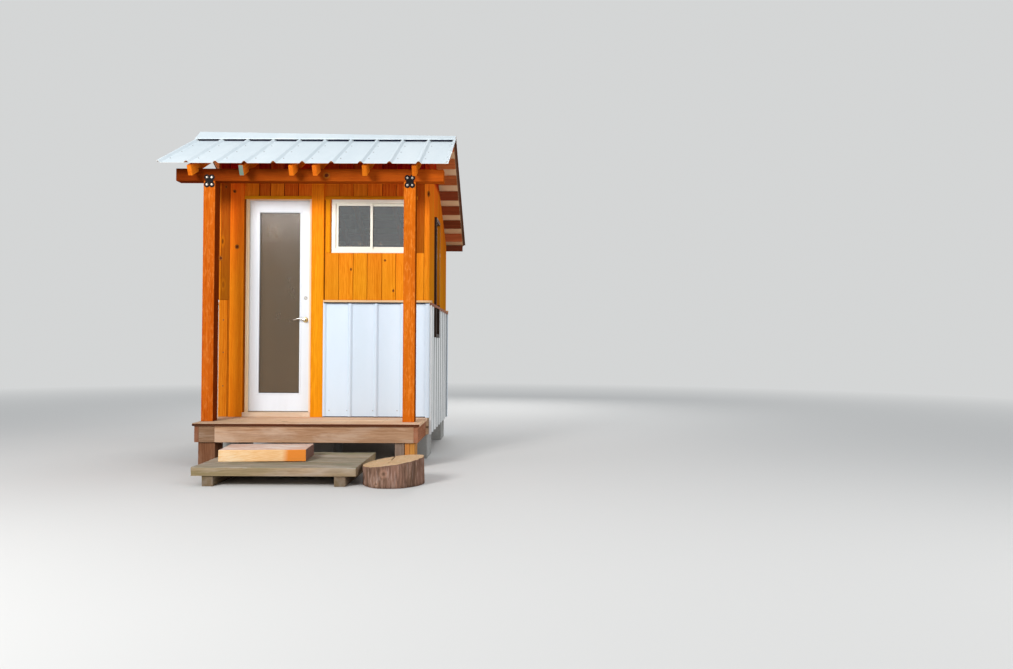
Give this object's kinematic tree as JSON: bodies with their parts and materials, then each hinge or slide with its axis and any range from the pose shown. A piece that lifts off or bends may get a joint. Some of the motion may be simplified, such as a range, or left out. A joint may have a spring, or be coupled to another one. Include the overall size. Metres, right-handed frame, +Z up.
{
  "type": "wooden outhouse",
  "caption": "Small timber outhouse with a covered porch on posts, ribbed metal gable roof, metal wainscot, glazed inward door, slider window and a low step.",
  "frame": {"origin": "on the ground plane, at the middle of the whole object's length and width", "axes": "+Z up, +Y from the porch steps towards the back wall, +X to the right as seen from the front"},
  "size_m": [2.514, 3.5312, 3.1538],
  "materials": {
    "framing_lumber": "sawn softwood",
    "floor_panel": "plywood",
    "concrete": "rough grey concrete",
    "weathered_deck": "weathered grey-brown",
    "fresh_timber": "fresh sawn",
    "red_orange_stain": "oiled stain",
    "deep_red_stain": "oiled stain",
    "orange_stain": "oiled stain",
    "red_brown_stain": "oiled stain",
    "cedar_siding": "honey-orange stained boards",
    "honey_trim": "honey-orange stained board",
    "sill_wood": "worn stain",
    "cream_trim": "cream paint",
    "roof_metal": "galvanised pale grey",
    "wainscot_metal": "white coated",
    "black_steel": "black powder coat",
    "white_paint": "white satin paint",
    "white_vinyl": "white vinyl",
    "dark_frame": "dark stained frame",
    "clear_glass": "clear float glass",
    "obscure_glass": "obscure ribbed glass",
    "bright_steel": "satin nickel",
    "mossy_planks": "weathered with moss",
    "log_bark": "rough bark with a sawn top"
  },
  "bodies": {
    "building": {"floor_frame": "framing_lumber", "floor_sheet": "floor_panel", "foundation_blocks": "concrete", "porch_front_rim": "weathered_deck", "porch_side_rims": "weathered_deck", "porch_joists": "weathered_deck", "porch_boards": "weathered_deck", "porch_blocks": "concrete", "timber_block": "fresh_timber", "porch_posts": "red_orange_stain", "porch_beam": "deep_red_stain", "post_plates": "black_steel", "front_rafters": "orange_stain", "rear_rafters": "orange_stain", "ridge_board": "framing_lumber", "front_purlins": "red_brown_stain", "rear_purlins": "red_brown_stain", "rear_fascia": "orange_stain", "front_roof_sheet": "roof_metal", "rear_roof_sheet": "roof_metal", "ridge_cap": "roof_metal", "front_wall_left": "cedar_siding", "front_wall_right": "cedar_siding", "front_wall_head": "cedar_siding", "left_wall": "cedar_siding", "right_wall": "cedar_siding", "back_wall": "cedar_siding", "front_wainscot": "wainscot_metal", "side_wainscots": "wainscot_metal", "back_wainscot": "wainscot_metal", "end_caps": "cream_trim", "side_caps": "red_brown_stain", "door_trims": "honey_trim", "door_jambs": "white_paint", "head_jamb": "white_paint", "door_sill": "sill_wood", "jamb_hinges": "bright_steel", "window_frame": "white_vinyl", "side_window_frame": "dark_frame", "window_glass": "clear_glass", "step_platform": "mossy_planks", "platform_bearers": "mossy_planks", "timber_step": "fresh_timber", "log_round": "log_bark"},
    "door": {"door_leaf": "white_paint", "door_glass": "obscure_glass", "door_handles": "bright_steel", "leaf_hinges": "bright_steel"}
  },
  "joints": [
    {"name": "door_hinge", "type": "hinge", "parent": "building", "child": "door", "pos_m": [-0.6945, -0.08243, 1.438], "axis": [0, 0, 1], "range_deg": [0, 95]}
  ]
}
